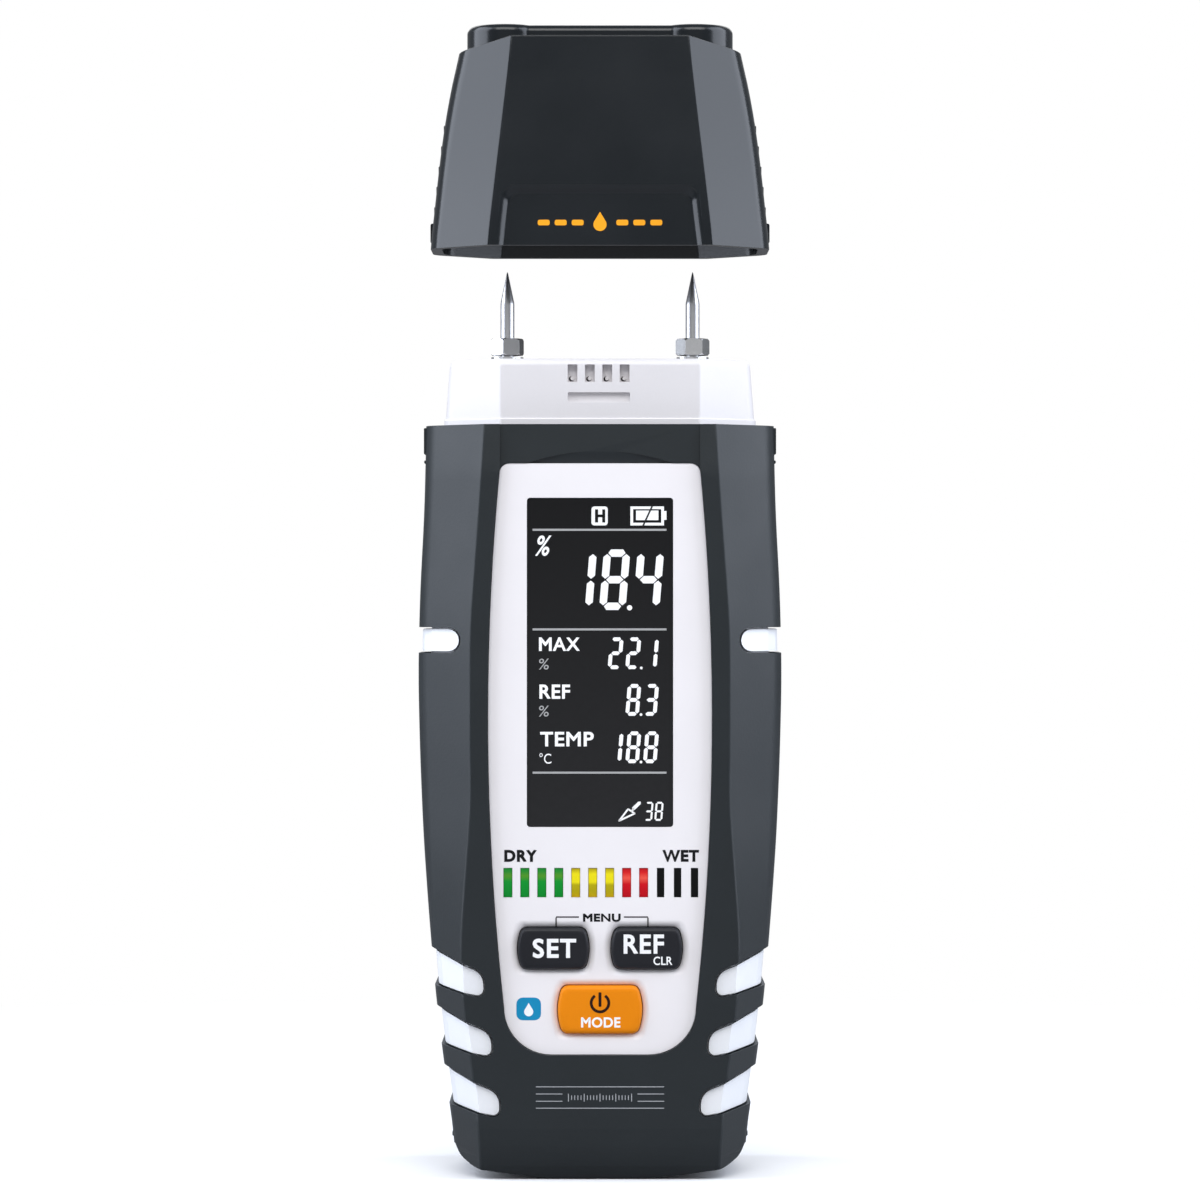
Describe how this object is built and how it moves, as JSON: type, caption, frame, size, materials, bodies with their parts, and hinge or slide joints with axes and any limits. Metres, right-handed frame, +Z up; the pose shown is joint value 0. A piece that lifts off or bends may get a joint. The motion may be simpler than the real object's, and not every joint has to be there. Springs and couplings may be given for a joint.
{
  "type": "moisture meter",
  "caption": "Handheld pin moisture meter with an angular soft-skinned case, display window, bar graph, keys and a pull-off cap held above its measuring pins.",
  "frame": {"origin": "under the middle of the base, on the surface the meter stands on", "axes": "+Z up along the meter towards the pins and cap, -Y the way the display faces, +X to the right of someone reading it"},
  "size_m": [0.0584, 0.038, 0.1845],
  "materials": {
    "soft_skin": "fine matte texture",
    "white_housing": "satin moulded",
    "white_panel": "gloss",
    "black_window": "polished",
    "display_dark": "satin",
    "light_guide": "translucent",
    "dark_key": "satin",
    "amber_key": "satin",
    "cap_plastic": "fine matte texture",
    "door_plastic": "fine matte texture",
    "steel_pin": "polished",
    "steel_nut": "bright",
    "zinc_screw": "plated",
    "brass_contact": "turned",
    "plated_contact": "nickel plated",
    "board_green": "solder mask",
    "chip_black": "moulded",
    "shield_metal": "tinned",
    "wire_red": "insulation",
    "cell_wrap": "printed sleeve"
  },
  "bodies": {
    "meter": {"front_overmold": "soft_skin", "rear_overmold": "soft_skin", "front_housing": "white_housing", "rear_housing": "white_housing", "faceplate": "white_panel", "display_window": "black_window", "lcd_panel": "display_dark", "lcd_backlight": "white_panel", "lcd_frame": "display_dark", "bar_light_guide": "light_guide", "switch_set": "chip_black", "switch_ref": "chip_black", "switch_mode": "chip_black", "main_board": "board_green", "microcontroller": "chip_black", "radio_module": "shield_metal", "buzzer": "chip_black", "board_screw_1": "zinc_screw", "board_screw_2": "zinc_screw", "board_screw_3": "zinc_screw", "board_screw_4": "zinc_screw", "case_screw_1": "zinc_screw", "case_screw_2": "zinc_screw", "case_screw_3": "zinc_screw", "case_screw_4": "zinc_screw", "sensor_head": "white_housing", "temperature_sensor": "chip_black", "pin_left": "steel_pin", "pin_right": "steel_pin", "pin_nut_left": "steel_nut", "pin_nut_right": "steel_nut", "pin_socket_left": "brass_contact", "pin_socket_right": "brass_contact", "pin_lead_left": "wire_red", "pin_lead_right": "wire_red", "battery_1": "cell_wrap", "battery_2": "cell_wrap", "battery_spring_1": "plated_contact", "battery_spring_2": "plated_contact", "battery_bridge": "plated_contact", "battery_contact_plus": "plated_contact", "battery_contact_minus": "plated_contact"},
    "cap": {"cap_shell": "cap_plastic", "cap_contact_left": "brass_contact", "cap_contact_right": "brass_contact", "cap_test_board": "board_green"},
    "key_set": {"button_set": "dark_key"},
    "key_ref": {"button_ref": "dark_key"},
    "key_mode": {"button_mode": "amber_key"},
    "battery_door": {"battery_door": "door_plastic"}
  },
  "joints": [
    {"name": "cap_slide", "type": "slide", "parent": "meter", "child": "cap", "axis": [0, 0, 1], "range_m": [-0.0282, 0.01]},
    {"name": "key_set_press", "type": "slide", "parent": "meter", "child": "key_set", "axis": [0, 1, 0], "range_m": [0, 0.0006], "stiffness_N_per_m": 1500, "springref_m": -0.0002},
    {"name": "key_ref_press", "type": "slide", "parent": "meter", "child": "key_ref", "axis": [0, 1, 0], "range_m": [0, 0.0006], "stiffness_N_per_m": 1500, "springref_m": -0.0002},
    {"name": "key_mode_press", "type": "slide", "parent": "meter", "child": "key_mode", "axis": [0, 1, 0], "range_m": [0, 0.0006], "stiffness_N_per_m": 1500, "springref_m": -0.0002},
    {"name": "battery_door_hinge", "type": "hinge", "parent": "meter", "child": "battery_door", "pos_m": [0, 0.0189, 0.0304], "axis": [-1, 0, 0], "range_deg": [0, 75]}
  ]
}
